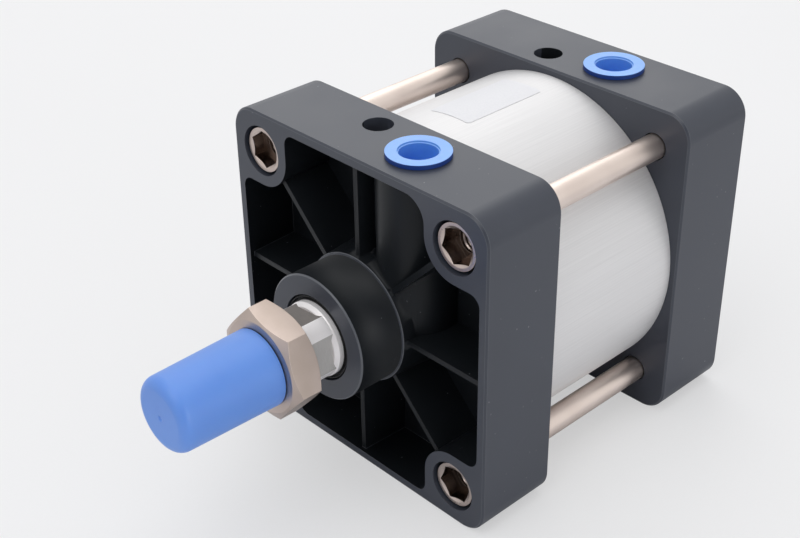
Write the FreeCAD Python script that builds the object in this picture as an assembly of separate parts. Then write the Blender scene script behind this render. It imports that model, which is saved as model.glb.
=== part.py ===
"""Tie-rod pneumatic cylinder, 125 mm bore, short stroke, with the rod drawn in.

Frame: millimetres. +X runs along the piston rod, out of the front cover. +Z is up, through the air ports.
The origin lies on the rod's axis, in the plane of the front cover's mounting face.
Two square die-cast covers clamp a round barrel between them. Four tie rods run past the barrel, and each is
held by a long round nut in a counterbore of either cover.
"""
import FreeCAD, Part
import math
import os

V = FreeCAD.Vector
X_AXIS = V(1, 0, 0)
Z_AXIS = V(0, 0, 1)

# Working clearances
running_gap = 0.05          # radial, where a turning or sliding piece is guided
rod_gap = 0.03              # radial, rod in its bush
free_gap = 0.3              # between moving pieces that never touch
fit_gap = 0.1               # radial, spigot in barrel
thread_overlap_gap = 0.05   # radial, nut on rod thread

# Stroke, piston and barrel
bore_radius = 62.5
barrel_wall = 6.5
stroke = 25.0
piston_length = 30.9
end_gap = 0.3               # left between piston and cover at either end of the stroke
spigot_length = 10.0        # part of each cover that plugs into the barrel

# Square covers
cover_margin = 3.0          # from the barrel to each side of the cover
cover_thickness = 39.0
corner_radius = 11.5
edge_chamfer = 0.8
wall = 4.0
pocket_depth = 24.5
pocket_fillet = 5.0
port_side_fillet = 10.0

# Ribs, hub and bosses inside each cover's pocket
rib_count = 8
rib_setback = 2.2
rib_tip = 2.4
rib_root = 4.2
hub_radius = 28.0
hub_draft = 2.0             # extra radius of the hub at the pocket's floor
hub_chamfer = 0.8
port_boss_setback = 2.5
needle_boss_radius = 9.0

# Tie rods and their nuts
tie_inset = 17.0            # from the side of the cover to the tie rod
tie_radius = 5.45
tie_hole_gap = 0.5
corner_block_wall = 4.6
nut_radius = 9.6
nut_side_gap = 1.25
nut_recess = 1.4
counterbore_depth = 30.0
nut_socket_width = 14.0
nut_socket_depth = 7.0
nut_socket_turns = (30.0, 36.0, 11.0, 18.0)     # degrees, first corner from +Y towards +Z, nut by nut
nut_sink_radius = 8.25      # countersink at the mouth of the socket
nut_free_thread = 13.5      # thread below the socket, left free for a mounting screw
nut_thread_radius = 5.1     # core of the thread that takes the mounting screw
nut_thread_relief = 0.8     # room between that thread and the end of the tie rod

# Rod, its thread and its wrench flats
rod_radius = 16.0
rod_reach = 24.0            # chromed rod, measured out of the mounting face
neck_length = 10.7
flats_width = 27.0
flats_turn = 4.5            # degrees, first flat from +Y towards +Z
thread_radius = 13.5
thread_length = 57.2
thread_chamfer = 2.0
seat_radius = 12.0          # reduced end of the rod that carries the piston stack
tail_overrun = 1.5

# Nose of the front cover, bush and rod seal
nose_radius = 27.0
nose_length = 21.0
nose_chamfer = 1.2
mouth_radius = 18.5
mouth_depth = 3.5
seal_groove_radius = 21.5
seal_groove_width = 8.0
bush_radius = 18.0
bush_length = 21.5
wiper_standback = 0.8

# Cushioning
chamber_radius = 22.0
front_chamber_depth = 33.5
rear_chamber_depth = 36.0
sleeve_radius = 19.0
sleeve_length = 20.0
sleeve_nose = 3.0           # tapered end that enters the cushion seal
sleeve_nose_drop = 0.8
cushion_seal_radius = 25.5
cushion_seal_width = 5.6
cushion_seal_depth = 3.2    # from the spigot's face to the seal's groove

# Air ports, G 1/2, and their plugs
port_offset = 17.0
port_depth = 22.0
port_thread_radius = 9.315
port_entry_radius = 10.5
port_entry_depth = 9.6
air_way_radius = 4.0
plug_flange_radius = 13.0
plug_flange = 2.0
plug_wall = 2.4
plug_floor = 1.6

# Cushion screws beside the ports
needle_offset = -13.4
needle_inset = 12.2         # from the cover's barrel side
needle_entry_radius = 6.3
needle_entry_depth = 9.0
needle_radius = 5.0
needle_length = 22.0
needle_tip_radius = 1.9
needle_tip_length = 9.0
needle_socket_width = 4.0
needle_socket_depth = 4.0
needle_bypass_radius = 2.0
needle_ring_width = 1.9
needle_side_gap = 0.25
needle_ring_height = 5.0    # from the thread's lower end

# Seals of barrel and piston
barrel_seal_width = 4.6
barrel_seal_depth = 3.4
seal_land = 3.0
piston_gap = 0.5
piston_seal_width = 6.0
piston_seal_depth = 7.0
seal_lip = 0.8
wear_ring_width = 8.0
wear_ring_thickness = 2.0
magnet_thickness = 2.5      # under the wear ring, in the same groove

# Nut behind the piston, and the nut and cap on the rod's thread
piston_nut_width = 32.0
piston_nut_length = 12.0
rod_nut_width = 41.0
rod_nut_length = 13.4
rod_nut_gap = 1.2           # from the neck to the nut's back face
rod_nut_turn = -11.4        # degrees, first corner from +Y towards +Z
hex_chamfer_angle = 30.0    # degrees
cap_end_wall = 3.2
cap_rim_radius = 16.25
cap_end_radius = 15.4
cap_round = 4.5

# Label on the barrel
label_length = 44.0
label_width_angle = 18.0    # degrees round the barrel
label_middle_angle = 93.5   # degrees, from +Y towards +Z
label_from_cover = 18.0
label_thickness = 0.15

# Places that follow from the sizes above
barrel_radius = bore_radius + barrel_wall
half_side = barrel_radius + cover_margin
tie_offset = half_side - tie_inset
barrel_length = 2 * spigot_length + piston_length + stroke + 2 * end_gap
front_joint = -cover_thickness
rear_joint = front_joint - barrel_length
middle = (front_joint + rear_joint) / 2
front_stop = front_joint - spigot_length
rear_stop = rear_joint + spigot_length
piston_back = rear_stop + end_gap
piston_front = piston_back + piston_length
port_place = -cover_thickness / 2
needle_place = front_joint + needle_inset
pocket_floor = -pocket_depth
chamber_front = front_stop + front_chamber_depth
neck_end = rod_reach + neck_length
rod_nut_back = neck_end + rod_nut_gap
rod_nut_front = rod_nut_back + rod_nut_length
thread_end = neck_end + thread_length
counterbore_radius = nut_radius + nut_side_gap
corner_block_radius = counterbore_radius + corner_block_wall
block_edge = tie_offset - corner_block_radius
plug_radius = port_entry_radius - free_gap
port_floor = half_side - port_depth
needle_seat = half_side - needle_entry_depth - needle_length
needle_floor = needle_seat - needle_tip_length
tie_end = -nut_recess - nut_socket_depth - nut_free_thread
seal_groove_end = nose_length - mouth_depth
seal_groove_start = seal_groove_end - seal_groove_width


def x_cylinder(start, end, radius, y=0.0, z=0.0):
    return Part.makeCylinder(radius, end - start, V(start, y, z), X_AXIS)


def x_tube(start, end, inner, outer):
    return x_cylinder(start, end, outer).cut(x_cylinder(start, end, inner))


def z_cylinder(bottom, top, radius, x, y):
    return Part.makeCylinder(radius, top - bottom, V(x, y, bottom), Z_AXIS)


def turned(profile):
    """Solid turned round the X axis from a closed outline of (x, radius) points."""
    points = [V(x, radius, 0) for x, radius in profile]
    face = Part.Face(Part.makePolygon(points + points[:1]))
    return face.revolve(V(0, 0, 0), X_AXIS, 360)


def turned_upright(profile, x, y):
    """Solid turned round a vertical axis at x, y from a closed outline of (radius, z) points."""
    points = [V(x + radius, y, z) for radius, z in profile]
    face = Part.Face(Part.makePolygon(points + points[:1]))
    return face.revolve(V(x, y, 0), Z_AXIS, 360)


def rounded_outline(corners, x):
    """Closed wire in the plane of x through (y, z, radius) corners, each rounded by its own radius."""
    points = [V(x, y, z) for y, z, radius in corners]
    arcs = []
    for index, (y, z, radius) in enumerate(corners):
        corner = points[index]
        back = (points[index - 1] - corner).normalize()
        ahead = (points[(index + 1) % len(points)] - corner).normalize()
        half_angle = back.getAngle(ahead) / 2
        inward = (back + ahead).normalize()
        tangent = radius / math.tan(half_angle)
        crown = inward * (radius / math.sin(half_angle) - radius)
        arcs.append((corner + back * tangent, corner + crown, corner + ahead * tangent))
    edges = []
    for index, (start, crown, end) in enumerate(arcs):
        edges.append(Part.Arc(start, crown, end).toShape())
        next_start = arcs[(index + 1) % len(arcs)][0]
        if (next_start - end).Length > 0.001:
            edges.append(Part.LineSegment(end, next_start).toShape())
    return Part.Wire(edges)


def hexagon(width, start, end, turn):
    """Hexagonal bar along X, measured across its flats, with a corner at the angle turn."""
    reach = width / math.sqrt(3)
    angles = [math.radians(turn + 60 * step) for step in range(6)]
    points = [V(start, reach * math.cos(a), reach * math.sin(a)) for a in angles]
    face = Part.Face(Part.makePolygon(points + points[:1]))
    return face.extrude(V(end - start, 0, 0))


def hexagon_nut(width, start, end, hole_radius, turn):
    """Hexagon nut along X with turned chamfers on both faces."""
    reach = width / math.sqrt(3)
    face_radius = 0.475 * width
    drop = (reach - face_radius) * math.tan(math.radians(hex_chamfer_angle))
    outline = [(start, 0), (start, face_radius), (start + drop, reach),
               (end - drop, reach), (end, face_radius), (end, 0)]
    blank = hexagon(width, start, end, turn).common(turned(outline))
    return blank.cut(x_cylinder(start, end, hole_radius))


def at_corners(make_piece):
    """One copy of a piece at each of the four tie-rod positions."""
    places = [(y, z) for y in (-tie_offset, tie_offset) for z in (-tie_offset, tie_offset)]
    return [make_piece(y, z) for y, z in places]


def mirrored(shape):
    """The same piece at the other end of the barrel."""
    return shape.mirror(V(middle, 0, 0), X_AXIS)


def edges_at(shape, x):
    """Edges that lie wholly in the plane of x."""
    boxes = [(edge, edge.BoundBox) for edge in shape.Edges]
    return [edge for edge, box in boxes if abs(box.XMin - x) < 0.001 and abs(box.XMax - x) < 0.001]


def cover_block():
    quarters = ((1, 1), (-1, 1), (-1, -1), (1, -1))
    corners = [(ys * half_side, zs * half_side, corner_radius) for ys, zs in quarters]
    block = Part.Face(rounded_outline(corners, front_joint)).extrude(V(cover_thickness, 0, 0))
    return block.makeChamfer(edge_chamfer, edges_at(block, 0) + edges_at(block, front_joint))


def pocket_cavity():
    """Square pocket that leaves the outer wall and a rounded block round each tie rod."""
    inner = half_side - wall
    room = inner - tie_offset
    small = min(pocket_fillet, room)
    large = min(port_side_fillet, room)
    corners = []
    for ys, zs in ((1, 1), (-1, 1), (-1, -1), (1, -1)):
        beside = (ys * block_edge, zs * inner, large if (ys, zs) == (1, 1) else small)
        below = (ys * inner, zs * block_edge, small)
        middle_corner = (ys * block_edge, zs * block_edge, corner_block_radius)
        trio = [below, middle_corner, beside]
        corners += trio if ys * zs > 0 else trio[::-1]
    return Part.Face(rounded_outline(corners, pocket_floor)).extrude(V(pocket_depth + 1, 0, 0))


def rib(angle):
    """One radial rib, thicker at the pocket's floor than at its front edge."""
    root = pocket_floor - 1
    tip = -rib_setback
    start = hub_radius / 2
    length = half_side - wall / 2 - start
    outline = [V(root, start, -rib_root / 2), V(tip, start, -rib_tip / 2), V(tip, start, rib_tip / 2),
               V(root, start, rib_root / 2)]
    bar = Part.Face(Part.makePolygon(outline + outline[:1])).extrude(V(0, length, 0))
    bar.rotate(V(0, 0, 0), X_AXIS, angle)
    return bar


def hub(front):
    """Round boss in the middle of the pocket, drafted towards its front edge."""
    root = pocket_floor - 1
    body = Part.makeCone(hub_radius + hub_draft, hub_radius, front - root, V(root, 0, 0), X_AXIS)
    return body.makeChamfer(hub_chamfer, edges_at(body, front))


def port_boss():
    """Upright half-round boss between the top wall and the hub, with the air port in it."""
    radius = cover_thickness / 2 - port_boss_setback
    return z_cylinder(0, half_side - wall / 2, radius, port_place, port_offset)


def needle_boss():
    return z_cylinder(0, half_side - wall / 2, needle_boss_radius, needle_place, needle_offset)


def spigot():
    """Round plug on the cover's barrel side, with a groove for the barrel seal."""
    outer = bore_radius - fit_gap
    floor = outer - barrel_seal_depth + fit_gap
    groove_back = front_joint - (spigot_length - barrel_seal_width) / 2
    groove_front = groove_back - barrel_seal_width
    profile = [(front_joint, 0), (front_joint, outer), (groove_back, outer), (groove_back, floor),
               (groove_front, floor), (groove_front, outer), (front_stop, outer), (front_stop, 0)]
    return turned(profile)


def cushion_bores(chamber_depth):
    """Cushion chamber and the groove of its seal."""
    chamber = x_cylinder(front_stop, front_stop + chamber_depth, chamber_radius)
    groove_start = front_stop + cushion_seal_depth
    groove = x_cylinder(groove_start, groove_start + cushion_seal_width, cushion_seal_radius)
    return [chamber, groove]


def port_bores():
    """Port thread with its wider entry, and the air way down into the cushion chamber."""
    entry = z_cylinder(half_side - port_entry_depth, half_side, port_entry_radius, port_place, port_offset)
    thread = z_cylinder(port_floor, half_side, port_thread_radius, port_place, port_offset)
    air_way_foot = chamber_radius - 3 * air_way_radius
    air_way = z_cylinder(air_way_foot, port_floor, air_way_radius, port_place, port_offset)
    return [entry, thread, air_way]


def needle_bores():
    """Stepped hole of the cushion screw, and the two ways that it throttles."""
    entry_floor = half_side - needle_entry_depth
    entry = z_cylinder(entry_floor, half_side, needle_entry_radius, needle_place, needle_offset)
    bore = z_cylinder(needle_seat, entry_floor, needle_radius + running_gap, needle_place, needle_offset)
    tip_room_radius = needle_tip_radius + needle_bypass_radius / 2
    tip_room = z_cylinder(needle_floor, needle_seat, tip_room_radius, needle_place, needle_offset)
    down = z_cylinder(0, needle_floor, needle_tip_radius / 2, needle_place, needle_offset)
    across_height = needle_seat - needle_bypass_radius - 1
    across = x_cylinder(front_stop, needle_place, needle_bypass_radius, needle_offset, across_height)
    return [entry, bore, tip_room, down, across]


def tie_bores():
    holes = at_corners(lambda y, z: x_cylinder(front_joint, 0, tie_radius + tie_hole_gap, y, z))
    seats = at_corners(lambda y, z: x_cylinder(-counterbore_depth, 0, counterbore_radius, y, z))
    return holes + seats


def cover(hub_front, chamber_depth):
    """Casting shared by both ends, at the front end's place."""
    body = cover_block().cut(pocket_cavity())
    ribs = [rib(index * 360 / rib_count) for index in range(rib_count)]
    body = body.multiFuse(ribs + [hub(hub_front), port_boss(), needle_boss(), spigot()])
    return body.cut(tie_bores() + cushion_bores(chamber_depth) + port_bores() + needle_bores())


def front_cover():
    """Front casting with the turned nose that carries the bush and the rod seal."""
    body = cover(0, front_chamber_depth)
    nose_profile = [(-hub_chamfer - 1, 0), (-hub_chamfer - 1, nose_radius),
                    (nose_length - nose_chamfer, nose_radius),
                    (nose_length, nose_radius - nose_chamfer), (nose_length, 0)]
    rod_bore = x_cylinder(chamber_front, nose_length, rod_radius + free_gap)
    bush_seat = x_cylinder(seal_groove_start - bush_length, seal_groove_start, bush_radius)
    seal_groove = x_cylinder(seal_groove_start, seal_groove_end, seal_groove_radius)
    mouth = x_cylinder(seal_groove_end, nose_length, mouth_radius)
    body = body.fuse(turned(nose_profile))
    return body.cut([rod_bore, bush_seat, seal_groove, mouth]).removeSplitter()


def rear_cover():
    """Rear casting: the same pocket and spigot, with a closed hub."""
    return mirrored(cover(-rib_setback, rear_chamber_depth).removeSplitter())


def barrel():
    """Plain round tube that butts on both covers."""
    return x_tube(rear_joint, front_joint, bore_radius, barrel_radius)


def tie_rods():
    start = 2 * middle - tie_end
    return Part.makeCompound(at_corners(lambda y, z: x_cylinder(start, tie_end, tie_radius, y, z)))


def tie_nut(turn):
    """Long round nut: a hexagon socket over a thread that takes a mounting screw and the tie rod's end."""
    front = -nut_recess
    body = x_cylinder(-counterbore_depth, front, nut_radius)
    socket = hexagon(nut_socket_width, front - nut_socket_depth, front, turn)
    sink_floor = nut_socket_width / 2
    sink_foot = front - (nut_sink_radius - sink_floor) / 2
    sink = turned([(front, 0), (front, nut_sink_radius), (sink_foot, sink_floor), (sink_foot, 0)])
    screw_end = tie_end + nut_thread_relief
    screw_thread = x_cylinder(screw_end, front, nut_thread_radius)
    tie_thread = x_cylinder(-counterbore_depth, screw_end, tie_radius)
    return body.cut([socket, sink, screw_thread, tie_thread])


def front_tie_rod_nuts():
    places = at_corners(lambda y, z: V(0, y, z))
    nuts = [tie_nut(turn).translated(place) for turn, place in zip(nut_socket_turns, places)]
    return Part.makeCompound(nuts)


def barrel_seal():
    """Ring squeezed between the spigot's groove and the barrel."""
    centre = front_joint - spigot_length / 2
    half = barrel_seal_depth / 2
    return x_tube(centre - half, centre + half, bore_radius - barrel_seal_depth, bore_radius)


def rod_bush():
    """Plain sintered bush that guides the rod."""
    return x_tube(seal_groove_start - bush_length, seal_groove_start, rod_radius + rod_gap, bush_radius)


def rod_seal():
    """Rod seal and wiper in one ring, with a scraping lip in the nose's mouth."""
    lip = rod_radius + running_gap
    start = seal_groove_start
    end = seal_groove_end
    front = nose_length - wiper_standback
    body = x_tube(start, end, lip, seal_groove_radius)
    return body.fuse(x_tube(end, front, lip, mouth_radius)).removeSplitter()


def cushion_seal():
    """Ring that closes the cushion chamber's mouth on the sleeve."""
    start = front_stop + cushion_seal_depth
    return x_tube(start, start + cushion_seal_width, sleeve_radius + running_gap, cushion_seal_radius)


def piston_rod():
    """Chromed rod with a reduced tail for the piston stack, a neck with four flats and the end thread."""
    sleeve_front = piston_front + sleeve_length
    tail = piston_back - sleeve_length - piston_nut_length - tail_overrun
    body = turned([(tail, 0), (tail, seat_radius - 1), (tail + 1, seat_radius),
                   (sleeve_front, seat_radius), (sleeve_front, rod_radius),
                   (rod_reach, rod_radius), (rod_reach, 0)])
    neck = x_cylinder(rod_reach, neck_end, rod_radius)
    corner = V(rod_reach, -flats_width / 2, -flats_width / 2)
    square = Part.makeBox(neck_length, flats_width, flats_width, corner)
    square.rotate(V(0, 0, 0), X_AXIS, flats_turn)
    thread = turned([(neck_end, 0), (neck_end, thread_radius), (thread_end - thread_chamfer, thread_radius),
                     (thread_end, thread_radius - thread_chamfer), (thread_end, 0)])
    return body.multiFuse([neck.common(square), thread]).removeSplitter()


def piston_grooves():
    """Start, width and depth of each groove, from the piston's front face."""
    rear_seal = piston_length - seal_land - piston_seal_width
    guide = (piston_length - wear_ring_width) / 2
    guide_depth = wear_ring_thickness + magnet_thickness - piston_gap + 2 * running_gap
    return {
        "front_seal": (seal_land, piston_seal_width, piston_seal_depth),
        "guide": (guide, wear_ring_width, guide_depth),
        "rear_seal": (rear_seal, piston_seal_width, piston_seal_depth),
    }


def piston():
    radius = bore_radius - piston_gap
    body = x_tube(piston_back, piston_front, seat_radius, radius)
    grooves = [x_tube(piston_front - start - width, piston_front - start, radius - depth, radius)
               for start, width, depth in piston_grooves().values()]
    return body.cut(grooves)


def piston_seals():
    """Two lipped rings, each with its lip towards its own end of the barrel."""
    grooves = piston_grooves()
    inner = bore_radius - piston_gap - piston_seal_depth + running_gap
    outer = bore_radius - running_gap
    rings = []
    for name, outward in (("front_seal", 1), ("rear_seal", -1)):
        start, width, depth = grooves[name]
        middle_x = piston_front - start - width / 2
        reach = width / 2 - running_gap
        shape = [(-reach, inner), (reach, inner), (reach, outer), (-reach, outer - seal_lip)]
        rings.append(turned([(middle_x + outward * x, r) for x, r in shape]))
    return Part.makeCompound(rings)


def wear_ring():
    """Guide strip round the piston, over the magnet."""
    start, width, depth = piston_grooves()["guide"]
    outer = bore_radius - running_gap
    return x_tube(piston_front - start - width + running_gap, piston_front - start - running_gap,
                  outer - wear_ring_thickness, outer)


def magnet_ring():
    start, width, depth = piston_grooves()["guide"]
    inner = bore_radius - piston_gap - depth
    return x_tube(piston_front - start - width, piston_front - start, inner, inner + magnet_thickness)


def cushion_sleeve(base, outward):
    """Sleeve against the piston's face, tapered at the end that enters the cushion chamber."""
    nose_start = sleeve_length - sleeve_nose
    shape = [(0, seat_radius), (sleeve_length, seat_radius),
             (sleeve_length, sleeve_radius - sleeve_nose_drop),
             (nose_start, sleeve_radius), (0, sleeve_radius)]
    return turned([(base + outward * x, r) for x, r in shape])


def piston_nut():
    end = piston_back - sleeve_length
    nut = hexagon(piston_nut_width, end - piston_nut_length, end, 0)
    return nut.cut(x_cylinder(end - piston_nut_length, end, seat_radius))


def cushion_screw():
    """Cushion screw with a hexagon socket, an O-ring squeezed round it and a tapered tip."""
    head = half_side - needle_entry_depth
    ring_top = needle_seat + needle_ring_height
    ring_bottom = ring_top - needle_ring_width
    shank = needle_radius - needle_side_gap
    profile = [(0, needle_floor + free_gap), (needle_tip_radius, needle_seat + running_gap),
               (shank, needle_seat + running_gap), (shank, ring_bottom), (needle_radius, ring_bottom),
               (needle_radius, ring_top), (shank, ring_top), (shank, head), (0, head)]
    screw = turned_upright(profile, needle_place, needle_offset)
    socket = hexagon(needle_socket_width, 0, needle_socket_depth + 1, 0)
    socket.rotate(V(0, 0, 0), V(0, 1, 0), -90)
    return screw.cut(socket.translated(V(needle_place, needle_offset, head - needle_socket_depth)))


def port_plug():
    """Push-in plug: a hollow stem in the port's entry under a flat flange."""
    top = half_side + plug_flange
    foot = half_side - port_entry_depth + free_gap
    hollow = plug_radius - plug_wall
    floor = foot + plug_floor
    profile = [(0, foot), (plug_radius, foot), (plug_radius, half_side),
               (plug_flange_radius, half_side), (plug_flange_radius, top),
               (hollow, top), (hollow, floor), (0, floor)]
    return turned_upright(profile, port_place, port_offset)


def rod_nut():
    hole = thread_radius + thread_overlap_gap
    return hexagon_nut(rod_nut_width, rod_nut_back, rod_nut_front, hole, rod_nut_turn)


def rod_cap():
    """Soft tapered cap pushed over the rod's thread, with a rounded closed end."""
    rim = rod_nut_front + free_gap
    inner_end = thread_end + free_gap
    end = inner_end + cap_end_wall
    taper = (cap_rim_radius - cap_end_radius) / (end - rim)
    shoulder = cap_end_radius + taper * cap_round
    soft = cap_round * (1 - math.sqrt(0.5))
    bore = thread_radius + free_gap
    profile = [(rim, bore), (rim, cap_rim_radius), (end - cap_round, shoulder),
               (end - soft, shoulder - soft), (end, shoulder - cap_round), (end, 0),
               (inner_end, 0), (inner_end, bore)]
    return turned(profile)


def label():
    """Thin sticker wrapped on the barrel."""
    start = front_joint - label_from_cover
    end = start - label_length
    outer = barrel_radius + label_thickness
    points = [V(start, barrel_radius, 0), V(end, barrel_radius, 0), V(end, outer, 0), V(start, outer, 0)]
    sheet = Part.Face(Part.makePolygon(points + points[:1])).revolve(V(0, 0, 0), X_AXIS, label_width_angle)
    sheet.rotate(V(0, 0, 0), X_AXIS, label_middle_angle - label_width_angle / 2)
    return sheet


def all_parts():
    front_nuts = front_tie_rod_nuts()
    return {
        "front_cover": front_cover(),
        "rear_cover": rear_cover(),
        "barrel": barrel(),
        "tie_rods": tie_rods(),
        "front_tie_rod_nuts": front_nuts,
        "rear_tie_rod_nuts": mirrored(front_nuts),
        "front_barrel_seal": barrel_seal(),
        "rear_barrel_seal": mirrored(barrel_seal()),
        "rod_bush": rod_bush(),
        "rod_seal": rod_seal(),
        "front_cushion_seal": cushion_seal(),
        "rear_cushion_seal": mirrored(cushion_seal()),
        "front_cushion_screw": cushion_screw(),
        "rear_cushion_screw": mirrored(cushion_screw()),
        "front_port_plug": port_plug(),
        "rear_port_plug": mirrored(port_plug()),
        "piston_rod": piston_rod(),
        "piston": piston(),
        "piston_seals": piston_seals(),
        "wear_ring": wear_ring(),
        "magnet_ring": magnet_ring(),
        "front_cushion_sleeve": cushion_sleeve(piston_front, 1),
        "rear_cushion_sleeve": cushion_sleeve(piston_back, -1),
        "piston_nut": piston_nut(),
        "rod_nut": rod_nut(),
        "rod_cap": rod_cap(),
        "barrel_label": label(),
    }


os.makedirs("parts", exist_ok=True)
for name, shape in all_parts().items():
    shape.exportStep(f"parts/{name}.step")
    print(f"{name}: {len(shape.Solids)} solids, {shape.Volume / 1000:.2f} cm3, valid {shape.isValid()}")
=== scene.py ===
"""Looks of a tie-rod pneumatic cylinder with its rod drawn in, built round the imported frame."""
import math

import bmesh
import bpy
from bpy.props import FloatProperty, IntProperty, PointerProperty, StringProperty
from mathutils import Matrix, Vector


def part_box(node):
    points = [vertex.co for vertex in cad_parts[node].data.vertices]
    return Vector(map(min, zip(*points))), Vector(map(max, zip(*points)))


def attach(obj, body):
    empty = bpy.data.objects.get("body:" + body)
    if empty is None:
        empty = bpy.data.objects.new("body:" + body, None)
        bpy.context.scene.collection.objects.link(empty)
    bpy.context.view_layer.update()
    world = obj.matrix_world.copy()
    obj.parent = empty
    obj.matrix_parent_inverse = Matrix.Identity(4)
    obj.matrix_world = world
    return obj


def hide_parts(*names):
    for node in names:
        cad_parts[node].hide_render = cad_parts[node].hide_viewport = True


bl_info = {
    "name": "Pneumatic cylinder looks",
    "version": (1, 0, 0),
    "blender": (4, 5, 0),
    "location": "View3D > Sidebar > Cylinder",
    "description": "Dresses a square-cover pneumatic cylinder and lights it in a pale studio",
    "category": "Add Mesh",
}

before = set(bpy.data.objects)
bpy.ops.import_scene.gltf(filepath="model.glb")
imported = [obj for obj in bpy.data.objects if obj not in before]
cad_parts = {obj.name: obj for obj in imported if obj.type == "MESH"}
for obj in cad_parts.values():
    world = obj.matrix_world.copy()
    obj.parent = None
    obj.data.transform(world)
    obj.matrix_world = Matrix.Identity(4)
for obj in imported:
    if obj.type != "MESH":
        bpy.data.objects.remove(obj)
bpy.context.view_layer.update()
MM = 0.001
X_AXIS = Vector((1, 0, 0))
Z_AXIS = Vector((0, 0, 1))

# Places in the frame, in millimetres, that the solids share
FRONT_JOINT = -39.0
REAR_JOINT = -115.5
MIDDLE = (FRONT_JOINT + REAR_JOINT) / 2
HALF_SIDE = 72.0
POCKET_FLOOR = -24.5
POCKET_EDGE = 68.0
TIE_OFFSET = 55.0
TIE_END = -21.9
TIE_RADIUS = 5.45
SOCKET_FLOOR = -8.4
NUT_FRONT = -1.4
PORT_X = -19.5
PORT_Y = 17.0
BORE_RADIUS = 62.5
BARREL_RADIUS = 69.0
HUB_RADIUS = 28.0
NOSE_RADIUS = 27.0
NOSE_END = 21.0
ROD_RADIUS = 16.0
ROD_REACH = 24.0
ROD_SHOULDER = -54.3
TAIL_RADIUS = 12.0
TAIL_END = -138.7
NECK_RADIUS = 15.6
NECK_END = 34.7
FLAT_DISTANCE = 13.5
THREAD_END = 91.9

# Choices of this script alone, in millimetres, degrees and counts
ROD_CHAMFER = 1.5
FLATS_TURN = 4.5
NUT_THREAD_CREST = 4.7
CAP_ROUNDING = 4.6
LABEL_STRIPS = 24
LABEL_THICKNESS = 0.12
LABEL_LIFT = 0.01

# Limits that sort faces into materials, in millimetres from an axis
CORNER_LIMIT = 12.0
SOCKET_LIMIT = 7.9
NECK_ROUND_LIMIT = 14.5
RECESS_LIMIT = 8.3

# Point that the camera looks at, in millimetres
CAMERA_TARGET = (-67.32, -45.45, -26.06)


class CylinderSizes(bpy.types.PropertyGroup):
    """Sizes of the details that are added to the solids."""

    cover_edge: FloatProperty(name="Cover edge", default=0.4 * MM, unit="LENGTH",
                              description="Rounding of the covers' as-cast edges")
    nut_edge: FloatProperty(name="Nut edge", default=0.2 * MM, unit="LENGTH",
                            description="Rounding of the nuts' edges")
    rod_pitch: FloatProperty(name="Rod thread pitch", default=2 * MM, unit="LENGTH",
                             description="Advance of the rod's thread in one turn")
    rod_thread: FloatProperty(name="Rod thread radius", default=13.5 * MM, unit="LENGTH",
                              description="Crest radius of the rod's thread")
    tie_pitch: FloatProperty(name="Nut thread pitch", default=1.75 * MM, unit="LENGTH",
                             description="Advance of the nuts' M12 thread in one turn")
    round_steps: IntProperty(name="Round steps", default=160, min=24,
                             description="Segments of a full turn on the barrel")
    label_corner: FloatProperty(name="Label corner", default=1.5 * MM, unit="LENGTH",
                                description="Corner radius of the label")


class CylinderColours(bpy.types.PropertyGroup):
    """Colours of the finishes, as sRGB hex values."""

    coat: StringProperty(name="Cover coat", default="#3b3f49",
                         description="Satin charcoal coat of the covers")
    # Pocket coat: the glossier as-cast coat, painted darker than the cover coat as shade in the pocket
    pocket: StringProperty(name="Pocket coat", default="#191c20",
                           description="Coat in the covers' as-cast pockets")
    barrel: StringProperty(name="Barrel", default="#e2e1e1",
                           description="Pale anodised aluminium")
    plating: StringProperty(name="Plating", default="#c4b5ad",
                            description="Warm plated steel of rods and nuts")
    chrome: StringProperty(name="Rod chrome", default="#f8f5f5",
                           description="Hard chrome of the piston rod")
    cap: StringProperty(name="Cap", default="#6696e6",
                        description="Blue of the rod's transport cap")
    plug: StringProperty(name="Plug", default="#8ab7f6",
                         description="Blue of the port plugs")
    rubber: StringProperty(name="Rubber", default="#141415",
                           description="Black of the seals")
    label: StringProperty(name="Label", default="#e3e3e5",
                          description="White of the bare label")
    floor: StringProperty(name="Floor", default="#e6e6e7",
                          description="Pale grey of the studio floor")


class CylinderStage(bpy.types.PropertyGroup):
    """Place and lens of the camera."""

    lens: FloatProperty(name="Lens", default=62.44, description="Focal length on a 36 mm sensor")
    azimuth: FloatProperty(name="Azimuth", default=math.radians(46.943), subtype="ANGLE",
                           description="Direction to the camera, from +X towards +Y")
    elevation: FloatProperty(name="Elevation", default=math.radians(31.413), subtype="ANGLE",
                             description="Height of the camera above the horizon")
    roll: FloatProperty(name="Roll", default=math.radians(-0.891), subtype="ANGLE",
                        description="Turn of the camera round its own axis")
    distance: FloatProperty(name="Distance", default=640.0 * MM, unit="LENGTH",
                            description="From the target to the camera")


# Nodes and materials


def linear(code):
    """Turns an sRGB hex colour into the linear values that a socket takes."""
    channels = [int(code[start:start + 2], 16) / 255 for start in (1, 3, 5)]
    return tuple(c / 12.92 if c <= 0.04045 else ((c + 0.055) / 1.055) ** 2.4 for c in channels) + (1.0,)


def add_node(tree, kind, settings=None, inputs=None):
    """Adds one node. Inputs are values, or sockets of other nodes that get linked."""
    made = tree.nodes.new(kind)
    for key, value in (settings or {}).items():
        setattr(made, key, value)
    for key, value in (inputs or {}).items():
        socket = made.inputs[key]
        if isinstance(value, bpy.types.NodeSocket):
            tree.links.new(value, socket)
        else:
            socket.default_value = value
    return made


def new_material(name):
    """Starts an empty node material."""
    material = bpy.data.materials.new(name)
    material.use_nodes = True
    material.node_tree.nodes.clear()
    return material, material.node_tree


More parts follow.
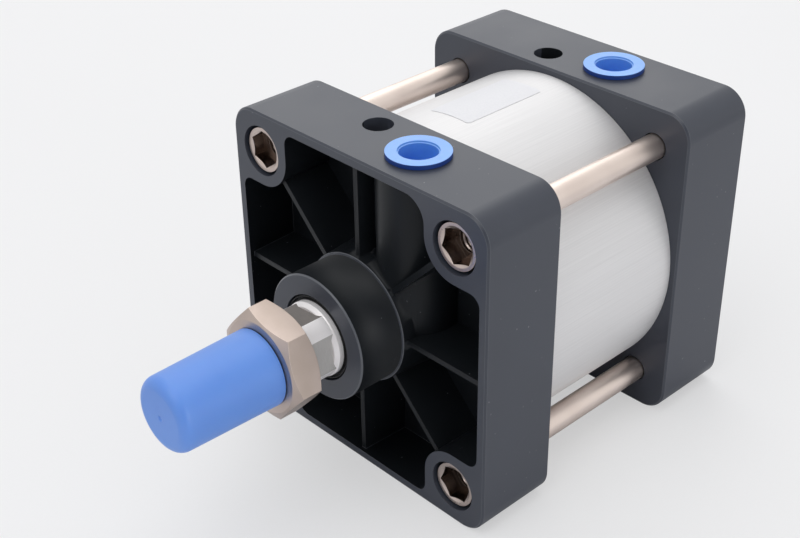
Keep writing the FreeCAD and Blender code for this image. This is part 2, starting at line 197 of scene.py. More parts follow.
def surface(tree, **inputs):
    """Ends a material in its one shader."""
    named = {key.replace("_", " "): value for key, value in inputs.items()}
    shader = add_node(tree, "ShaderNodeBsdfPrincipled", inputs=named)
    add_node(tree, "ShaderNodeOutputMaterial", inputs={"Surface": shader.outputs["BSDF"]})


def pattern(tree, size_mm, detail=2.0, stretch=(1, 1, 1), rough=0.5):
    """Noise whose blotches are about size_mm across, drawn out by stretch along X, Y and Z."""
    place = add_node(tree, "ShaderNodeTexCoord").outputs["Object"]
    scale = tuple(1 / (size_mm * MM * factor) for factor in stretch)
    mapped = add_node(tree, "ShaderNodeMapping", inputs={"Vector": place, "Scale": scale}).outputs["Vector"]
    noise = add_node(tree, "ShaderNodeTexNoise",
                     inputs={"Vector": mapped, "Scale": 1.0, "Detail": detail, "Roughness": rough})
    return noise.outputs["Fac"]


def between(tree, factor, low, high, start=0.0, end=1.0):
    """Maps a pattern from start and end to a plain number between low and high."""
    ends = {"Value": factor, "From Min": start, "From Max": end, "To Min": low, "To Max": high}
    return add_node(tree, "ShaderNodeMapRange", inputs=ends).outputs["Result"]


def shades(tree, factor, first, second):
    """Mixes two colours, hex codes or sockets, by a pattern."""
    first, second = (linear(colour) if isinstance(colour, str) else colour for colour in (first, second))
    mixed = add_node(tree, "ShaderNodeMix", {"data_type": "RGBA"}, {"Factor": factor, 6: first, 7: second})
    return mixed.outputs[2]


def relief(tree, height, strength, distance_mm):
    """Turns a pattern into a fine unevenness of the surface."""
    inputs = {"Height": height, "Strength": strength, "Distance": distance_mm * MM}
    return add_node(tree, "ShaderNodeBump", inputs=inputs).outputs["Normal"]


def coated_casting(name, colour, deep, roughness, grain_mm, ior):
    """Cast aluminium under a baked satin coat: even charcoal, faintly cloudy, with a fine pebbled skin."""
    material, tree = new_material(name)
    cloud = pattern(tree, 26, detail=3)
    grain = pattern(tree, grain_mm, detail=3, rough=0.6)
    dust = pattern(tree, 1.3, detail=0)
    tone = shades(tree, between(tree, cloud, 0, 1, 0.3, 0.7), deep, colour)
    specks = between(tree, dust, 0, 0.4, 0.86, 0.9)
    tone = shades(tree, specks, tone, "#9a9ca1")
    rough = between(tree, cloud, roughness - 0.03, roughness + 0.04, 0.3, 0.7)
    surface(tree, Base_Color=tone, Roughness=rough, IOR=ior, Normal=relief(tree, grain, 0.2, 0.04))
    return material


def edge_highlight_coat_with_nicks(name, colour):
    """The coat on edges and turned rings: painted lighter as a highlight along them, with tiny nicks of
    real wear down to bare aluminium.
    """
    material, tree = new_material(name)
    nicks = between(tree, pattern(tree, 3.5, detail=4, rough=0.7), 0, 0.5, 0.73, 0.77)
    tone = shades(tree, nicks, colour, "#c9c9c6")
    surface(tree, Base_Color=tone, Roughness=between(tree, nicks, 0.36, 0.3), Metallic=nicks, IOR=1.5)
    return material


def anodised_barrel(name, colour):
    """Drawn aluminium tube, blasted and clear anodised: pale, matt, with faint lengthwise draw lines."""
    material, tree = new_material(name)
    lines = pattern(tree, 0.5, stretch=(90, 1, 1))
    grain = pattern(tree, 0.35)
    tone = shades(tree, between(tree, lines, 0, 1, 0.2, 0.8), "#d9d8d8", colour)
    surface(tree, Base_Color=tone, Metallic=0.35, Roughness=between(tree, grain, 0.44, 0.5, 0.3, 0.7),
            Normal=relief(tree, grain, 0.1, 0.02))
    return material


def plated_steel(name, colour, shade, roughness, line_mm, stretch):
    """Steel under a thin warm plating: satin, with the faint marks of drawing or turning below it."""
    material, tree = new_material(name)
    lines = pattern(tree, line_mm, stretch=stretch)
    stain = pattern(tree, 16)
    tone = shades(tree, between(tree, stain, 0, 1, 0.3, 0.7), shade, colour)
    surface(tree, Base_Color=tone, Metallic=1.0,
            Roughness=between(tree, lines, roughness - 0.03, roughness + 0.04, 0.3, 0.7),
            Normal=relief(tree, lines, 0.1, 0.01))
    return material


def hard_chrome(name, colour):
    """Ground hard chrome: a pale satin mirror, with the finest hoop lines of grinding."""
    material, tree = new_material(name)
    lines = pattern(tree, 0.35, stretch=(1, 30, 30))
    surface(tree, Base_Color=linear(colour), Metallic=0.3,
            Roughness=between(tree, lines, 0.32, 0.38, 0.3, 0.7), Normal=relief(tree, lines, 0.02, 0.01))
    return material


def milled_steel(name, shade, colour):
    """Milled steel: mid grey and matt, with fine tool marks across the rod."""
    material, tree = new_material(name)
    lines = pattern(tree, 0.3, stretch=(1, 8, 8))
    tone = shades(tree, between(tree, lines, 0, 1, 0.2, 0.8), shade, colour)
    surface(tree, Base_Color=tone, Metallic=0.25, Roughness=between(tree, lines, 0.55, 0.65, 0.3, 0.7),
            Normal=relief(tree, lines, 0.06, 0.01))
    return material


def faced_steel(name):
    """Freshly faced steel: nearly white, with the fine spiral of the facing tool scattering the light."""
    material, tree = new_material(name)
    lines = pattern(tree, 0.25, stretch=(8, 1, 1))
    tone = shades(tree, between(tree, lines, 0, 1, 0.2, 0.8), "#f3efef", "#faf7f7")
    surface(tree, Base_Color=tone, Metallic=0.1, Roughness=between(tree, lines, 0.4, 0.46, 0.3, 0.7))
    return material


def moulded_polyethylene(name, colour, shade, roughness):
    """Injection-moulded polyethylene: waxy, softly lit, with a fine spark-eroded skin."""
    material, tree = new_material(name)
    grain = pattern(tree, 0.5)
    cloud = pattern(tree, 18)
    tone = shades(tree, between(tree, cloud, 0, 1, 0.3, 0.7), shade, colour)
    surface(tree, Base_Color=tone,
            Roughness=between(tree, grain, roughness - 0.04, roughness + 0.05, 0.3, 0.7), IOR=1.5,
            Subsurface_Weight=0.08, Subsurface_Scale=0.003, Normal=relief(tree, grain, 0.08, 0.02))
    return material


def nitrile_rubber(name, colour):
    """Moulded nitrile rubber: black, dull, with a faint bloom."""
    material, tree = new_material(name)
    bloom = pattern(tree, 3, detail=3)
    tone = shades(tree, between(tree, bloom, 0, 1, 0.4, 0.8), colour, "#242427")
    surface(tree, Base_Color=tone, Roughness=between(tree, bloom, 0.5, 0.65, 0.3, 0.7), IOR=1.52)
    return material


def machined_metal(name, colour, roughness):
    """Turned metal inside the cylinder: hoop lines of the tool round the rod's axis."""
    material, tree = new_material(name)
    lines = pattern(tree, 0.4, stretch=(1, 25, 25))
    tone = shades(tree, between(tree, lines, 0, 1, 0.2, 0.8), "#8c8c8c", colour)
    surface(tree, Base_Color=tone, Metallic=1.0,
            Roughness=between(tree, lines, roughness - 0.05, roughness + 0.08, 0.3, 0.7))
    return material


def satin_sticker(name, colour):
    """Coated paper sticker: bare, clean white with a satin face."""
    material, tree = new_material(name)
    fibre = pattern(tree, 0.8, detail=3)
    tone = shades(tree, between(tree, fibre, 0, 1, 0.3, 0.7), "#dddde0", colour)
    surface(tree, Base_Color=tone, Roughness=0.42, IOR=1.48, Normal=relief(tree, fibre, 0.04, 0.02))
    return material


def studio_floor(name, colour):
    """Pale matt paper sweep. Half of the white that the camera sees is a glow, for light shadows."""
    material, tree = new_material(name)
    tooth = pattern(tree, 1.2)
    seen = add_node(tree, "ShaderNodeLightPath").outputs["Is Camera Ray"]
    tone = shades(tree, seen, colour, shades(tree, tooth, "#a4a4a5", "#a8a8a9"))
    surface(tree, Base_Color=tone, Roughness=0.9, Emission_Color=linear("#f8f8f8"),
            Emission_Strength=between(tree, seen, 0, 0.515))
    return material


# Meshes


def finished(bm, name, materials, body, replaces=(), smooth=True):
    """Turns a bmesh into a piece that rides on a body and stands for the CAD nodes it replaces."""
    mesh = bpy.data.meshes.new(name)
    bm.to_mesh(mesh)
    bm.free()
    piece = bpy.data.objects.new(name, mesh)
    bpy.context.scene.collection.objects.link(piece)
    for material in materials:
        mesh.materials.append(material)
    if smooth:
        mesh.shade_smooth()
        piece.modifiers.new("even_shading", "WEIGHTED_NORMAL").keep_sharp = True
    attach(piece, body)
    if replaces:
        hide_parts(*replaces)


def everything(bm):
    """All vertices, edges and faces of a bmesh."""
    return bm.verts[:] + bm.edges[:] + bm.faces[:]


def flat_sheet(name, size, matrix, material):
    """A flat square that lies or stands in the studio."""
    bm = bmesh.new()
    bmesh.ops.create_grid(bm, x_segments=1, y_segments=1, size=size, matrix=matrix)
    mesh = bpy.data.meshes.new(name)
    bm.to_mesh(mesh)
    bm.free()
    mesh.materials.append(material)
    sheet = bpy.data.objects.new(name, mesh)
    bpy.context.scene.collection.objects.link(sheet)
    return sheet


def spin_profile(bm, corners, steps, axis=X_AXIS):
    """Spins a closed outline of (along, radius) corners, in millimetres, into a closed ring or solid."""
    other = Vector((0, 1, 0)) if axis == X_AXIS else Vector((1, 0, 0))
    points = [bm.verts.new((axis * along + other * radius) * MM) for along, radius in corners]
    edges = [bm.edges.new((points[i - 1], points[i])) for i in range(len(points))]
    bmesh.ops.spin(bm, geom=points + edges, cent=(0, 0, 0), axis=axis, dvec=(0, 0, 0), angle=math.tau,
                   steps=steps, use_merge=True, use_duplicate=False)
    bmesh.ops.remove_doubles(bm, verts=bm.verts, dist=1e-6)
    bmesh.ops.recalc_face_normals(bm, faces=bm.faces)


def sharp_edges(bm, angle_deg, keep=lambda edge: True):
    """The edges that turn by more than an angle and pass a test."""
    limit = math.radians(angle_deg)
    return [edge for edge in bm.edges
            if len(edge.link_faces) == 2 and edge.calc_face_angle(0) > limit and keep(edge)]


def soften(bm, edges, width, segments, material=-1):
    """Rounds edges, or chamfers them with one segment. The new faces may take a material of their own."""
    bmesh.ops.bevel(bm, geom=edges, offset=width, offset_type="OFFSET", affect="EDGES", segments=segments,
                    profile=0.5, material=material, clamp_overlap=True)


def crease(bm, angle_deg):
    """Keeps the shading crisp over the edges that are left sharper than an angle."""
    for edge in sharp_edges(bm, angle_deg):
        edge.smooth = False


def turned_piece(name, corners, material, body, replaces, edge_mm, steps):
    """A turned or moulded round piece whose sharp edges are all slightly rounded."""
    bm = bmesh.new()
    spin_profile(bm, corners, steps)
    soften(bm, sharp_edges(bm, 25), edge_mm * MM, 2)
    finished(bm, name, [material], body, replaces)


def merged_copy(node):
    """A node's mesh with its loose triangles joined and its flat faces made whole again."""
    bm = bmesh.new()
    bm.from_mesh(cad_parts[node].data)
    bmesh.ops.remove_doubles(bm, verts=bm.verts, dist=1e-6)
    bmesh.ops.dissolve_limit(bm, angle_limit=math.radians(0.5), verts=bm.verts, edges=bm.edges)
    return bm


def mirror_to_rear(bm):
    """Moves a front piece to its mirrored place at the other end of the barrel."""
    shift = Matrix.Translation(X_AXIS * 2 * MIDDLE * MM) @ Matrix.Scale(-1, 4, X_AXIS)
    bmesh.ops.transform(bm, matrix=shift, verts=bm.verts)
    bmesh.ops.reverse_faces(bm, faces=bm.faces)


def from_tie(centre):
    """Distance of a point from the nearest tie rod's axis."""
    return math.hypot(abs(centre.y) - TIE_OFFSET, abs(centre.z) - TIE_OFFSET)


def mark_pocket(bm, front):
    """Gives a cover's pocket and nose wall the darker as-cast coat, which is glossier and carries painted
    shade, and its two turned rings the lighter edge coat, a painted highlight.
    """
    for face in bm.faces:
        centre = face.calc_center_median() / MM
        x = centre.x if front else 2 * MIDDLE - centre.x
        radius = centre.yz.length
        between_walls = max(abs(centre.y), abs(centre.z)) < POCKET_EDGE + 0.2
        off_corners = from_tie(centre) > CORNER_LIMIT
        in_pocket = POCKET_FLOOR - 0.3 < x < -0.4 and between_walls and off_corners
        on_nose = x > -0.4 and NOSE_RADIUS - 0.4 < radius < HUB_RADIUS and abs(face.normal.x) < 0.5
        hub_ring = -0.6 < x < -0.02 and NOSE_RADIUS < radius < HUB_RADIUS + 0.2
        nose_ring = NOSE_END - 1.3 < x < NOSE_END - 0.1 and NOSE_RADIUS - 1 < radius < NOSE_RADIUS
        # The two turned rings take the lighter edge coat, a painted highlight line
        if hub_ring or nose_ring:
            face.material_index = 2
        elif in_pocket or on_nose:
            face.material_index = 1


def tighten_chamfers(bm):
    """Draws the chamfers of the nose and the hub in to narrow lines of turned edges, which take the lighter
    coat as a painted highlight.
    """
    rings = ((NOSE_END, NOSE_RADIUS - 1.2, NOSE_END, NOSE_RADIUS - 0.6),
             (NOSE_END - 1.2, NOSE_RADIUS, NOSE_END - 0.6, NOSE_RADIUS),
             (0, HUB_RADIUS - 0.8, 0, HUB_RADIUS - 0.35),
             (-0.8, HUB_RADIUS + 0.06, -0.35, HUB_RADIUS + 0.03))
    for vert in bm.verts:
        x, radius = vert.co.x / MM, vert.co.yz.length / MM
        for at_x, at_radius, to_x, to_radius in rings:
            if abs(x - at_x) < 0.03 and abs(radius - at_radius) < 0.03:
                vert.co = Vector((to_x * MM, *(vert.co.yz * to_radius / radius)))


def off_the_hub(edge):
    """True for the edges away from the chamfered ring where the hub carries the nose."""
    return any(vert.co.yz.length > (HUB_RADIUS + 1) * MM for vert in edge.verts) or all(
        vert.co.x > 1 * MM for vert in edge.verts)


def on_outline(edge):
    """True for the edges round a cover's square outline."""
    inner = min(max(abs(vert.co.y), abs(vert.co.z)) for vert in edge.verts) / MM
    return inner > HALF_SIDE - 5


def build_cover(node, front, materials, edge):
    """Dresses one cover: coats by place, rounded outline with the lighter edge coat (painted highlight,
    with nicks), lightly rounded inner edges.
    """
    bm = merged_copy(node)
    mark_pocket(bm, front)
    tighten_chamfers(bm)
    # The rounded outline takes the lighter edge coat: painted highlight, with real nicks of wear
    soften(bm, sharp_edges(bm, 30, on_outline), edge, 3, 2)
    soften(bm, sharp_edges(bm, 30, off_the_hub), edge / 2, 2)
    finished(bm, f"{node}_casting", materials, "cylinder_body", [node])


def thread_ridge(bm, pitch, crest, depth, start, end, steps, outward=1):
    """A helical ridge on the X axis: a wedge section spun along its own pitch, inward with outward=-1."""
    turns = (end - start) / pitch
    root = crest - outward * depth
    half = pitch * 0.44
    tip = pitch * 0.07
    section = [(-half, root), (half, root), (tip, crest), (-tip, crest)]
    points = [bm.verts.new((start + along, radius, 0)) for along, radius in section]
    face = bm.faces.new(points)
    count = round(turns * steps)
    bmesh.ops.spin(bm, geom=[face], cent=(0, 0, 0), axis=X_AXIS, dvec=(pitch / steps, 0, 0),
                   angle=math.tau * turns, steps=count, use_merge=False, use_duplicate=False)
    bmesh.ops.recalc_face_normals(bm, faces=bm.faces)


# Operators


class CYLINDER_OT_covers(bpy.types.Operator):
    """Coats the two die-cast covers and rounds their edges"""

    bl_idname = "cylinder.covers"
    bl_label = "Covers"

    def execute(self, context):
        sizes, colours = context.scene.cylinder_sizes, context.scene.cylinder_colours
        coat = coated_casting("satin_coated_die_casting", colours.coat, "#373b45", 0.38, 0.45, 1.5)
        # Darker, glossier coat for the pocket and nose wall: as-cast finish with painted shade
        pocket = coated_casting("as_cast_pocket_coat_with_painted_shade", colours.pocket, "#14171a", 0.4, 0.7, 1.3)
        # Lighter coat for edges and turned rings: a painted highlight, with real nicks of wear
        rim = edge_highlight_coat_with_nicks("edge_coat_painted_highlight_and_nicks", "#54575d")
        for node, front in (("front_cover", True), ("rear_cover", False)):
            build_cover(node, front, [coat, pocket, rim], sizes.cover_edge)
        return {"FINISHED"}


class CYLINDER_OT_barrel(bpy.types.Operator):
    """Turns the anodised barrel and sticks the bare label on it"""

    bl_idname = "cylinder.barrel"
    bl_label = "Barrel and label"

    def execute(self, context):
        sizes, colours = context.scene.cylinder_sizes, context.scene.cylinder_colours
        metal = anodised_barrel("clear_anodised_aluminium", colours.barrel)
        tube = [(REAR_JOINT, BORE_RADIUS), (FRONT_JOINT, BORE_RADIUS), (FRONT_JOINT, BARREL_RADIUS),
                (REAR_JOINT, BARREL_RADIUS)]
        turned_piece("barrel_tube", tube, metal, "cylinder_body", ["barrel"], 0.3,
                     sizes.round_steps)
        self.label(sizes, satin_sticker("satin_paper_sticker", colours.label))
        return {"FINISHED"}

    def angle_at(self, y):
        """Angle from +Y at which the top of the barrel passes a Y in millimetres."""
        return math.atan2(math.sqrt(BARREL_RADIUS ** 2 - y ** 2), y)

    def label(self, sizes, paper):
        """A sheet with rounded corners, cut into strips and wrapped round the barrel."""
        low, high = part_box("barrel_label")
        start, end = self.angle_at(low.y / MM), self.angle_at(high.y / MM)
        width = abs(start - end) * BARREL_RADIUS * MM
        length = high.x - low.x
        bm = bmesh.new()
        sheet = Matrix.Diagonal((length, width, 1, 1))
        bmesh.ops.create_grid(bm, x_segments=1, y_segments=1, size=0.5, matrix=sheet)
        bmesh.ops.bevel(bm, geom=bm.verts[:], offset=sizes.label_corner, affect="VERTICES", segments=5,
                        profile=0.5, material=-1)
        for step in range(1, LABEL_STRIPS):
            cut = -width / 2 + width * step / LABEL_STRIPS
            bmesh.ops.bisect_plane(bm, geom=everything(bm), plane_co=(0, cut, 0), plane_no=(0, 1, 0))
        bmesh.ops.solidify(bm, geom=bm.faces[:], thickness=-LABEL_THICKNESS * MM)
        middle = (start + end) / 2
        for vert in bm.verts:
            angle = middle + vert.co.y / (BARREL_RADIUS * MM)
            radius = BARREL_RADIUS * MM + LABEL_LIFT * MM + vert.co.z
            along = vert.co.x + (low.x + high.x) / 2
            vert.co = Vector((along, radius * math.cos(angle), radius * math.sin(angle)))
        bmesh.ops.recalc_face_normals(bm, faces=bm.faces)
        finished(bm, "barrel_sticker", [paper], "cylinder_body", ["barrel_label"])


class CYLINDER_OT_tie_rods(bpy.types.Operator):
    """Draws the tie rods and finishes their long round nuts"""

    bl_idname = "cylinder.tie_rods"
    bl_label = "Tie rods and nuts"

    def execute(self, context):
        sizes, colours = context.scene.cylinder_sizes, context.scene.cylinder_colours
        drawn = plated_steel("drawn_plated_steel", "#ebddd4", "#e1d2c9", 0.36, 0.3, (60, 1, 1))
        # Darker copy of the plating for the sockets: painted shade in the recesses
        socket_shade_steel = plated_steel("socket_steel_painted_shade", "#8a7d75", "#6f645d", 0.2, 0.4, (1, 5, 5))
        turned = plated_steel("turned_plated_steel", colours.plating, "#c5b8b1", 0.3, 0.3, (1, 6, 6))
        rear_end = 2 * MIDDLE - TIE_END
        rod = [(rear_end, 0), (TIE_END, 0), (TIE_END, TIE_RADIUS), (rear_end, TIE_RADIUS)]
        bm = bmesh.new()
        spin_profile(bm, rod, 48)
        soften(bm, sharp_edges(bm, 25), 0.6 * MM, 2)
        self.at_corners(bm)
        finished(bm, "drawn_tie_rods", [drawn], "cylinder_body", ["tie_rods"])
        for node, front in (("front_tie_rod_nuts", True), ("rear_tie_rod_nuts", False)):
            bm = merged_copy(node)
            self.mark_sockets(bm, front)
            soften(bm, sharp_edges(bm, 30), sizes.nut_edge, 2)
            crease(bm, 12)
            finished(bm, f"{node}_turned", [turned, socket_shade_steel], "cylinder_body", [node])
            bm = bmesh.new()
            thread_ridge(bm, sizes.tie_pitch, NUT_THREAD_CREST * MM, 0.55 * MM, (TIE_END + 1.8) * MM,
                         (SOCKET_FLOOR - 0.9) * MM, 36, outward=-1)
            self.at_corners(bm)
            if not front:
                mirror_to_rear(bm)
            finished(bm, f"{node}_thread", [turned], "cylinder_body", smooth=False)
        return {"FINISHED"}

    def mark_sockets(self, bm, front):
        """Gives the walls and floors of the hexagon sockets, and the bores below, the darker steel, painted
        shade in these recesses.
        """
        for face in bm.faces:
            centre = face.calc_center_median() / MM
            x = centre.x if front else 2 * MIDDLE - centre.x
            on_wall = x < NUT_FRONT - 0.3 and from_tie(centre) < SOCKET_LIMIT and abs(face.normal.x) < 0.3
            on_floor = SOCKET_FLOOR - 1 < x < SOCKET_FLOOR + 0.2
            if on_wall or on_floor:
                face.material_index = 1

    def at_corners(self, bm):
        """Copies what the bmesh holds to the four tie-rod places."""
        first = everything(bm)
        bmesh.ops.translate(bm, verts=bm.verts, vec=(0, TIE_OFFSET * MM, TIE_OFFSET * MM))
        for y, z in ((-1, 1), (-1, -1), (1, -1)):
            copy = bmesh.ops.duplicate(bm, geom=first)["geom"]
            verts = [item for item in copy if isinstance(item, bmesh.types.BMVert)]
            shift = Vector((0, (y - 1) * TIE_OFFSET * MM, (z - 1) * TIE_OFFSET * MM))
            bmesh.ops.translate(bm, verts=verts, vec=shift)


class CYLINDER_OT_rod(bpy.types.Operator):
    """Grinds the rod, mills its wrench flats, cuts its thread and finishes its nut"""

    bl_idname = "cylinder.rod"
    bl_label = "Rod and nut"

    def execute(self, context):
        sizes, colours = context.scene.cylinder_sizes, context.scene.cylinder_colours
        chrome = hard_chrome("polished_hard_chrome", colours.chrome)
        milled = milled_steel("milled_steel", "#7b7673", "#88837f")
        # Lighter copy of the milled steel for the flat facing +Y: painted light on that side
        lit_flat_steel = milled_steel("milled_steel_painted_lit_side", "#b3b1af", "#c0bebc")
        nut_metal = plated_steel("milled_plated_steel", colours.plating, "#b8a99f", 0.36, 0.4, (4, 1, 1))
        bm = bmesh.new()
        outline = [(TAIL_END, 0), (TAIL_END, TAIL_RADIUS), (ROD_SHOULDER, TAIL_RADIUS),
                   (ROD_SHOULDER, ROD_RADIUS), (ROD_REACH, ROD_RADIUS), (ROD_REACH, 0)]
        spin_profile(bm, outline, 96)
        lead_in = sharp_edges(bm, 25, lambda e: min(v.co.x for v in e.verts) > (ROD_REACH - 0.1) * MM)
        soften(bm, lead_in, ROD_CHAMFER * MM, 1)
        crease(bm, 20)
        for face in bm.faces:
            face.material_index = int(face.normal.x > 0.9 and face.calc_center_median().x > 0)
        metals = [chrome, faced_steel("faced_steel")]
        finished(bm, "ground_piston_rod", metals, "rod", ["piston_rod"])
        self.neck([milled, chrome, lit_flat_steel])
        self.thread(sizes, milled)
        bm = merged_copy("rod_nut")
        soften(bm, sharp_edges(bm, 28), sizes.nut_edge, 2)
        crease(bm, 9)
        finished(bm, "hexagon_rod_nut", [nut_metal], "rod_nut", ["rod_nut"])
        return {"FINISHED"}

    def neck(self, materials):
        """Round neck cut to a square with rounded corners, which stay chrome between the milled flats. The
        flat that faces +Y takes a lighter copy of the milled steel, painted light.
        """
        bm = bmesh.new()
        start = ROD_REACH - ROD_CHAMFER + ROD_RADIUS - NECK_RADIUS
        spin_profile(bm, [(start, 0), (start, NECK_RADIUS), (NECK_END, NECK_RADIUS), (NECK_END, 0)], 128)
        for quarter in range(4):
            angle = math.radians(FLATS_TURN + 90 * quarter)
            normal = Vector((0, math.cos(angle), math.sin(angle)))
            cut = bmesh.ops.bisect_plane(bm, geom=everything(bm), plane_co=normal * FLAT_DISTANCE * MM,
                                         plane_no=normal, clear_outer=True)
            rim = [item for item in cut["geom_cut"] if isinstance(item, bmesh.types.BMEdge)]
            bmesh.ops.contextual_create(bm, geom=rim)
        bmesh.ops.recalc_face_normals(bm, faces=bm.faces)
        for face in bm.faces:
            is_round = face.calc_center_median().yz.length > NECK_ROUND_LIMIT * MM
            face.material_index = 1 if is_round else 2 * int(face.normal.y > 0.7)
        soften(bm, sharp_edges(bm, 25), 0.12 * MM, 2)
        crease(bm, 20)
        finished(bm, "milled_rod_neck", materials, "rod")

    def thread(self, sizes, milled):
        """Core and helical ridge of the rod's end thread."""
        depth = 0.61 * sizes.rod_pitch
        core = (sizes.rod_thread - depth) / MM
        bm = bmesh.new()
        start = NECK_END - 0.2
        spin_profile(bm, [(start, 0), (start, core), (THREAD_END, core), (THREAD_END, 0)], 72)
        soften(bm, sharp_edges(bm, 25), 0.8 * MM, 2)
        thread_ridge(bm, sizes.rod_pitch, sizes.rod_thread - 0.02 * MM, depth + 0.1 * MM,
                     (NECK_END + 1) * MM, (THREAD_END - 2) * MM, 48)
        finished(bm, "rod_end_thread", [milled], "rod", smooth=False)


class CYLINDER_OT_transport_caps(bpy.types.Operator):
    """Moulds the blue cap of the rod and the blue plugs of the ports"""

    bl_idname = "cylinder.transport_caps"
    bl_label = "Cap and plugs"

    def execute(self, context):
        colours = context.scene.cylinder_colours
        soft = moulded_polyethylene("soft_polyethylene_cap", colours.cap, "#6191e2", 0.38)
        plug = moulded_polyethylene("moulded_polyethylene_plug", colours.plug, "#84b2f3", 0.4)
        # Darker copies of the plug's blue for its flank and recess: painted shade
        flank = moulded_polyethylene("polyethylene_flank_painted_shade", "#173d8a", "#14367e", 0.45)
        recess = moulded_polyethylene("polyethylene_recess_painted_shade", "#5f98e4", "#5a94e0", 0.45)
        self.cap(soft)
        for node, front in (("front_port_plug", True), ("rear_port_plug", False)):
            x = PORT_X if front else 2 * MIDDLE - PORT_X
            place = Matrix.Translation(Vector((x, PORT_Y, 0)) * MM)
            self.plug(node, place, [plug, flank, recess])
        return {"FINISHED"}

    def plug(self, node, place, materials):
        """Flanged plug with a stepped recess. Its flank and recess take darker copies of the rim's blue,
        painted shade.
        """
        outline = [(62.7, 0), (62.7, 10.2), (72.0, 10.2), (72.0, 13.0), (74.0, 13.0), (74.0, 8.2),
                   (73.2, 8.1), (73.2, 7.7), (64.3, 7.5), (64.3, 0)]
        bm = bmesh.new()
        spin_profile(bm, outline, 96, axis=Z_AXIS)
        soften(bm, sharp_edges(bm, 25), 0.25 * MM, 3)
        # Recess faces take the recess blue and upright faces the deep flank blue, both painted shade
        for face in bm.faces:
            centre = face.calc_center_median()
            upright = face.normal.z < 0.6
            below_rim = upright or centre.z < 73 * MM
            if centre.xy.length < RECESS_LIMIT * MM and below_rim:
                face.material_index = 2
            elif upright:
                face.material_index = 1
        bmesh.ops.transform(bm, matrix=place, verts=bm.verts)
        finished(bm, f"{node}_moulding", materials, node, [node])

    def cap(self, soft):
        """Tapered cup with a well-rounded closed end and the small dimple of its gate."""
        low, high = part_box("rod_cap")
        rim, end = low.x / MM, high.x / MM
        gate, inner_end = end - 0.5, end - 3.2
        outline = [(rim, 14.4), (rim, 16.25), (end, 15.4), (end, 1.3), (gate, 0.7), (gate, 0),
                   (inner_end, 0), (inner_end, 13.8)]
        bm = bmesh.new()
        spin_profile(bm, outline, 128)
        outer = sharp_edges(bm, 40, lambda e: min(v.co.x for v in e.verts) > (end - 0.1) * MM
                            and max(v.co.yz.length for v in e.verts) > 10 * MM)
        soften(bm, outer, CAP_ROUNDING * MM, 10)
        soften(bm, sharp_edges(bm, 30), 0.25 * MM, 2)
        finished(bm, "rod_cap_moulding", [soft], "rod_cap", ["rod_cap"])


class CYLINDER_OT_seals(bpy.types.Operator):
    """Makes the wiper in the nose and finishes the seals, screws and inner pieces"""

    bl_idname = "cylinder.seals"
    bl_label = "Seals and inner pieces"

    def execute(self, context):
        colours = context.scene.cylinder_colours
        rubber = nitrile_rubber("nitrile_rubber", colours.rubber)
        steel = machined_metal("turned_steel", "#b4b4b6", 0.3)
        finishes = {
            rubber: ["front_barrel_seal", "rear_barrel_seal", "front_cushion_seal", "rear_cushion_seal",
                     "piston_seals"],
            steel: ["front_cushion_sleeve", "rear_cushion_sleeve", "piston_nut"],
            machined_metal("turned_aluminium", "#c8c8cb", 0.35): ["piston"],
            machined_metal("sintered_bronze", "#a5834d", 0.5): ["rod_bush"],
            machined_metal("turned_brass", "#b8975a", 0.3): ["front_cushion_screw", "rear_cushion_screw"],
            nitrile_rubber("bound_magnet_powder", "#2a2724"): ["magnet_ring"],
            moulded_polyethylene("moulded_guide_strip", "#2f4a44", "#2a423d", 0.45): ["wear_ring"],
        }
        lips = [(9.5, 16.04), (9.5, 21.4), (17.5, 21.4), (17.5, 18.4), (19.3, 18.4), (19.3, 18.0),
                (20.5, 17.75), (20.5, 17.35), (19.4, 17.05), (19.4, 16.6), (20.6, 16.3), (20.6, 16.04)]
        turned_piece("rod_seal_with_wiper", lips, rubber, "cylinder_body", ["rod_seal"],
                     0.12, 128)
        for material, nodes in finishes.items():
            for node in nodes:
                mesh_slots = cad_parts[node].data.materials
                mesh_slots.clear()
                mesh_slots.append(material)
        return {"FINISHED"}


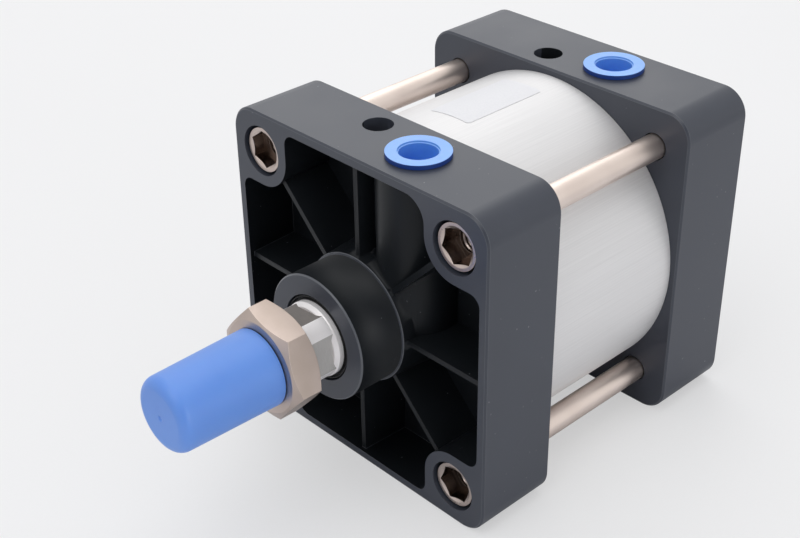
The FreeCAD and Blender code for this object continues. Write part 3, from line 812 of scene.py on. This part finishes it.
class CYLINDER_OT_stage(bpy.types.Operator):
    """Lays the pale floor, hangs the soft lamps and sets the camera"""

    bl_idname = "cylinder.stage"
    bl_label = "Stage"

    def execute(self, context):
        scene, stage = context.scene, context.scene.cylinder_stage
        scene.view_settings.view_transform = "Standard"
        floor = flat_sheet("studio_floor", 3.0, Matrix.Translation((0, 0, -HALF_SIDE * MM)),
                           studio_floor("matt_paper_sweep", scene.cylinder_colours.floor))
        self.lamps(scene)
        self.dark_wall()
        self.surroundings(scene)
        self.camera(scene, stage)
        return {"FINISHED"}

    def lamps(self, scene):
        """Large soft boxes, each given by its place, its size in metres and its power."""
        target = Vector((MIDDLE * MM, 0, 0))
        for name, place, size, power in (("overhead", (-0.2, -0.25, 1.3), 1.3, 5.5),
                                         ("back_left", (-1.0, -1.05, 0.85), 1.1, 3),
                                         ("front_top", (0.85, 0.1, 1.1), 0.9, 3.5),
                                         ("right_fill", (0.15, 1.7, 0.15), 1.2, 9)):
            lamp = bpy.data.lights.new(name, "AREA")
            lamp.shape = "SQUARE"
            lamp.size = size
            lamp.energy = power
            holder = bpy.data.objects.new(name, lamp)
            holder.location = place
            holder.rotation_euler = (target - Vector(place)).to_track_quat("-Z", "Y").to_euler()
            scene.collection.objects.link(holder)

    def dark_wall(self):
        """The unlit side of the studio, behind the camera, which dulls reflections from that way."""
        material, tree = new_material("unlit_studio_wall")
        paint = pattern(tree, 40)
        surface(tree, Base_Color=shades(tree, paint, "#8c8c8f", "#949497"), Roughness=0.9)
        azimuth = math.radians(50)
        facing = Vector((-math.cos(azimuth), -math.sin(azimuth), 0)).to_track_quat("Z", "Y")
        place = Matrix.Translation(Vector((1.35, 1.6, 0.9))) @ facing.to_matrix().to_4x4()
        wall = flat_sheet("dark_wall", 1.0, place @ Matrix.Diagonal((1.1, 2.4, 1, 1)), material)

    def surroundings(self, scene):
        """Even grey light for the object, and a pale room for the camera and for reflections."""
        world = bpy.data.worlds.new("pale_room")
        world.use_nodes = True
        tree = world.node_tree
        tree.nodes.clear()
        path = add_node(tree, "ShaderNodeLightPath").outputs
        seen = add_node(tree, "ShaderNodeMath", {"operation": "MAXIMUM"},
                        {0: path["Is Camera Ray"], 1: path["Is Glossy Ray"]})
        light, room = (add_node(tree, "ShaderNodeBackground",
                                inputs={"Color": linear(code), "Strength": power})
                       for code, power in (("#f2f3f6", 0.72), ("#f2f2f2", 1.0)))
        mixed = add_node(tree, "ShaderNodeMixShader",
                         inputs={0: seen.outputs[0], 1: light.outputs[0], 2: room.outputs[0]})
        add_node(tree, "ShaderNodeOutputWorld", inputs={"Surface": mixed.outputs[0]})
        scene.world = world

    def camera(self, scene, stage):
        """Sets the camera by its direction from the target, its distance and its roll."""
        azimuth, elevation, roll = stage.azimuth, stage.elevation, stage.roll
        back = Vector((math.cos(azimuth) * math.cos(elevation), math.sin(azimuth) * math.cos(elevation),
                       math.sin(elevation)))
        right = Z_AXIS.cross(back).normalized()
        up = back.cross(right)
        across = math.cos(roll) * right + math.sin(roll) * up
        upward = math.cos(roll) * up - math.sin(roll) * right
        data = bpy.data.cameras.new("photo_camera")
        data.lens = stage.lens
        data.clip_start = 0.01
        holder = bpy.data.objects.new("photo_camera", data)
        target = Vector(CAMERA_TARGET) * MM
        holder.matrix_world = Matrix.Translation(target + back * stage.distance) @ Matrix(
            (across, upward, back)).transposed().to_4x4()
        scene.collection.objects.link(holder)
        scene.camera = holder


class CYLINDER_PT_panel(bpy.types.Panel):
    """Lists the steps that dress the cylinder"""

    bl_idname = "CYLINDER_PT_panel"
    bl_label = "Pneumatic cylinder"
    bl_space_type = "VIEW_3D"
    bl_region_type = "UI"
    bl_category = "Cylinder"

    def draw(self, context):
        for operator in OPERATORS:
            self.layout.operator(operator.bl_idname)
        for group_name in GROUPS:
            group = getattr(context.scene, group_name)
            box = self.layout.box()
            for name in group.bl_rna.properties.keys():
                if name not in ("rna_type", "name"):
                    box.prop(group, name)


OPERATORS = (CYLINDER_OT_stage, CYLINDER_OT_covers, CYLINDER_OT_barrel, CYLINDER_OT_tie_rods,
             CYLINDER_OT_rod, CYLINDER_OT_transport_caps, CYLINDER_OT_seals)
GROUPS = {"cylinder_sizes": CylinderSizes, "cylinder_colours": CylinderColours,
          "cylinder_stage": CylinderStage}


def register():
    for cls in (*GROUPS.values(), *OPERATORS, CYLINDER_PT_panel):
        bpy.utils.register_class(cls)
    for name, group in GROUPS.items():
        setattr(bpy.types.Scene, name, PointerProperty(type=group))


def unregister():
    for name in GROUPS:
        delattr(bpy.types.Scene, name)
    for cls in reversed((*GROUPS.values(), *OPERATORS, CYLINDER_PT_panel)):
        bpy.utils.unregister_class(cls)


def dress_cylinder():
    register()
    for operator in OPERATORS:
        group, name = operator.bl_idname.split(".")
        getattr(getattr(bpy.ops, group), name)()


if __name__ == "__main__":
    dress_cylinder()
